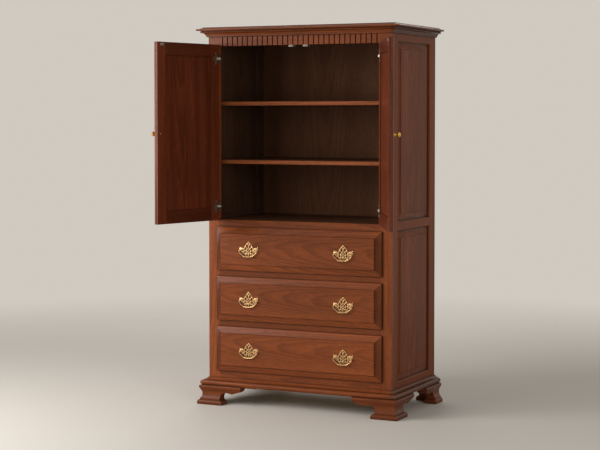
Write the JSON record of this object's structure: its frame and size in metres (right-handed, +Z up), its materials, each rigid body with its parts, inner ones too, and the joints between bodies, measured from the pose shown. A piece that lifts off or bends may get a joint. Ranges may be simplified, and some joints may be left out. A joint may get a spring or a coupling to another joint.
{
  "type": "tv armoire",
  "caption": "Tall wooden cabinet on ogee bracket feet: moulded crown, dentil course, shelved bay behind panelled doors, and lipped drawers with pierced brass pulls.",
  "frame": {"origin": "the point on the floor under the middle of the armoire's bounding box with its doors open as at rest, which lies 57 mm to the right of the case's own middle and 55 mm behind its front", "axes": "+X to the viewer's right, +Y from the front towards the back, +Z up"},
  "size_m": [1.2758, 1.0094, 1.897],
  "materials": {
    "show_wood": "satin red-brown cherry stain on the front, mouldings, feet and doors",
    "side_wood": "satin red-brown cherry stain on the frame-and-panel sides",
    "inside_wood": "dark satin stain on the shelves, deck and back",
    "plain_wood": "unstained pale wood of the drawer boxes and bottom board",
    "antique_brass": "satin brass of the pulls and knobs",
    "hinge_steel": "nickelled steel of the hinges",
    "catch_plastic": "grey-brown housing of the magnetic catches"
  },
  "bodies": {
    "carcass": {"side_frame_left": "side_wood", "side_frame_right": "side_wood", "side_panel_lower_left": "side_wood", "side_panel_lower_right": "side_wood", "side_panel_upper_left": "side_wood", "side_panel_upper_right": "side_wood", "face_stile_left": "show_wood", "face_stile_right": "show_wood", "bottom_rail": "show_wood", "web_frame_lower": "show_wood", "web_frame_upper": "show_wood", "waist_rail": "show_wood", "dentil_rail": "show_wood", "top_board": "show_wood", "crown_moulding": "show_wood", "base_moulding": "show_wood", "front_foot_left": "show_wood", "front_foot_right": "show_wood", "rear_foot_left": "show_wood", "rear_foot_right": "show_wood", "deck_board": "inside_wood", "bottom_board": "plain_wood", "back_panel": "inside_wood", "shelf_lower": "inside_wood", "shelf_upper": "inside_wood", "hinge_arm_lower_left": "hinge_steel", "hinge_arm_lower_right": "hinge_steel", "hinge_arm_upper_left": "hinge_steel", "hinge_arm_upper_right": "hinge_steel", "magnetic_catch_left": "catch_plastic", "magnetic_catch_right": "catch_plastic"},
    "door_left": {"door_frame_left": "show_wood", "door_panel_left": "show_wood", "door_knob_left": "antique_brass", "hinge_cup_lower_left": "hinge_steel", "hinge_cup_upper_left": "hinge_steel"},
    "door_right": {"door_frame_right": "show_wood", "door_panel_right": "show_wood", "door_knob_right": "antique_brass", "hinge_cup_lower_right": "hinge_steel", "hinge_cup_upper_right": "hinge_steel"},
    "drawer_1": {"drawer_front_1": "show_wood", "drawer_box_1": "plain_wood", "pull_plate_1_left": "antique_brass", "pull_plate_1_right": "antique_brass"},
    "drawer_2": {"drawer_front_2": "show_wood", "drawer_box_2": "plain_wood", "pull_plate_2_left": "antique_brass", "pull_plate_2_right": "antique_brass"},
    "drawer_3": {"drawer_front_3": "show_wood", "drawer_box_3": "plain_wood", "pull_plate_3_left": "antique_brass", "pull_plate_3_right": "antique_brass"},
    "bail_1_left": {"pull_bail_1_left": "antique_brass"},
    "bail_1_right": {"pull_bail_1_right": "antique_brass"},
    "bail_2_left": {"pull_bail_2_left": "antique_brass"},
    "bail_2_right": {"pull_bail_2_right": "antique_brass"},
    "bail_3_left": {"pull_bail_3_left": "antique_brass"},
    "bail_3_right": {"pull_bail_3_right": "antique_brass"}
  },
  "joints": [
    {"name": "door_left_hinge", "type": "hinge", "parent": "carcass", "child": "door_left", "pos_m": [-0.50393, -0.06683, 1.3705], "axis": [0, 0, -1], "range_deg": [-102, 18]},
    {"name": "door_right_hinge", "type": "hinge", "parent": "carcass", "child": "door_right", "pos_m": [0.39007, -0.06683, 1.3705], "axis": [0, 0, 1], "range_deg": [-119, 1]},
    {"name": "drawer_1_slide", "type": "slide", "parent": "carcass", "child": "drawer_1", "axis": [0, -1, 0], "range_m": [0, 0.38]},
    {"name": "drawer_2_slide", "type": "slide", "parent": "carcass", "child": "drawer_2", "axis": [0, -1, 0], "range_m": [0, 0.38]},
    {"name": "drawer_3_slide", "type": "slide", "parent": "carcass", "child": "drawer_3", "axis": [0, -1, 0], "range_m": [0, 0.38]},
    {"name": "bail_1_left_swing", "type": "hinge", "parent": "drawer_1", "child": "bail_1_left", "pos_m": [-0.31493, -0.09563, 0.281], "axis": [-1, 0, 0], "range_deg": [-8, 170]},
    {"name": "bail_1_right_swing", "type": "hinge", "parent": "drawer_1", "child": "bail_1_right", "pos_m": [0.20107, -0.09563, 0.281], "axis": [-1, 0, 0], "range_deg": [-8, 170]},
    {"name": "bail_2_left_swing", "type": "hinge", "parent": "drawer_2", "child": "bail_2_left", "pos_m": [-0.31493, -0.09563, 0.5355], "axis": [-1, 0, 0], "range_deg": [-8, 170]},
    {"name": "bail_2_right_swing", "type": "hinge", "parent": "drawer_2", "child": "bail_2_right", "pos_m": [0.20107, -0.09563, 0.5355], "axis": [-1, 0, 0], "range_deg": [-8, 170]},
    {"name": "bail_3_left_swing", "type": "hinge", "parent": "drawer_3", "child": "bail_3_left", "pos_m": [-0.31493, -0.09563, 0.786], "axis": [-1, 0, 0], "range_deg": [-8, 170]},
    {"name": "bail_3_right_swing", "type": "hinge", "parent": "drawer_3", "child": "bail_3_right", "pos_m": [0.20107, -0.09563, 0.786], "axis": [-1, 0, 0], "range_deg": [-8, 170]}
  ]
}
